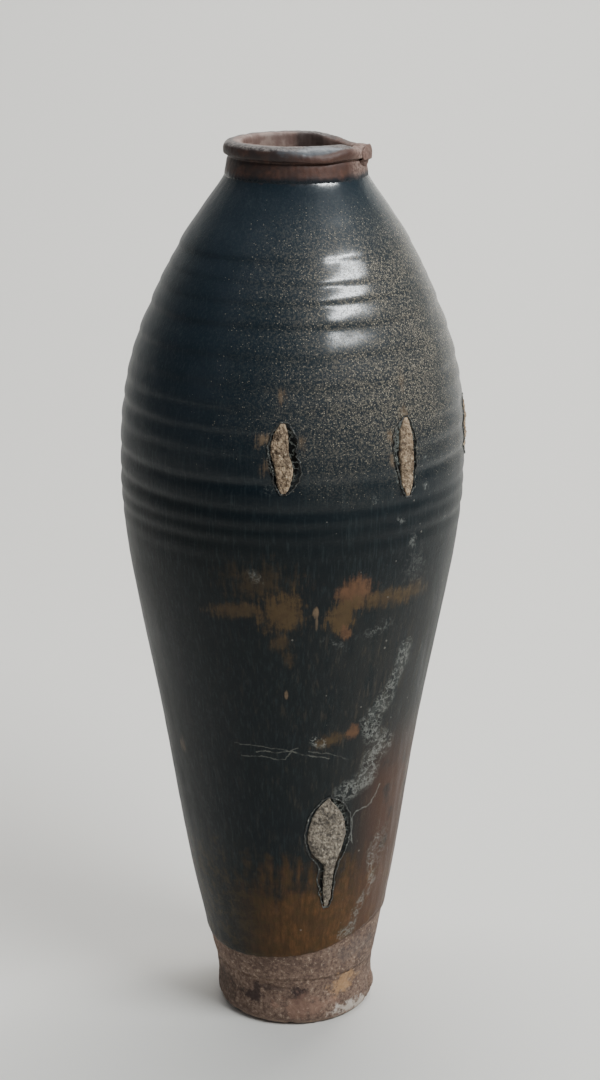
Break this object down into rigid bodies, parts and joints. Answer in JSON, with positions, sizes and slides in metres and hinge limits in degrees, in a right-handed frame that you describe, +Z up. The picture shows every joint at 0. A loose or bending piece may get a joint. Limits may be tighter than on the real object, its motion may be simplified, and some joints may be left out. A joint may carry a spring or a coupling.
{
  "type": "storage jar",
  "caption": "Tall narrow-necked stoneware jar with black glaze, throwing rings, kiln scars and an unglazed foot, for storing liquids",
  "frame": {"origin": "centre of the base, on the surface the jar stands on", "axes": "+Z up along the jar's axis, -Y the side with the kiln scars, +X to the right of that side"},
  "size_m": [0.2128, 0.2128, 0.56],
  "materials": {
    "body_clay": "fired stoneware clay, matt",
    "foot_clay": "unglazed sandy stoneware, rough and matt",
    "joining_slip": "fired joining slip, matt",
    "black_glaze": "black iron glaze, soft gloss, with brown and pale kiln marks",
    "brown_glaze": "thin rust-brown glaze, soft gloss",
    "lining_glaze": "thin brown glaze wash, satin",
    "scar_clay": "torn sandy clay, matt",
    "leg_scar_clay": "gritty clay and ash, matt",
    "lip_lump_glaze": "clay lump under thin brown glaze, half matt"
  },
  "bodies": {
    "root": {"foot_base": "foot_clay", "leg_wall": "body_clay", "waist_wall": "body_clay", "shoulder_wall": "body_clay", "neck_collar": "body_clay", "lip_ring": "body_clay", "foot_slip_seam": "joining_slip", "leg_slip_seam": "joining_slip", "belly_slip_seam": "joining_slip", "neck_slip_seam": "joining_slip", "black_glaze_coat": "black_glaze", "brown_neck_glaze": "brown_glaze", "inner_glaze": "lining_glaze", "belly_scar_front": "scar_clay", "belly_scar_right": "scar_clay", "belly_scar_side": "scar_clay", "leg_scar": "leg_scar_clay", "foot_lump": "foot_clay", "lip_lump": "lip_lump_glaze"}
  },
  "joints": []
}
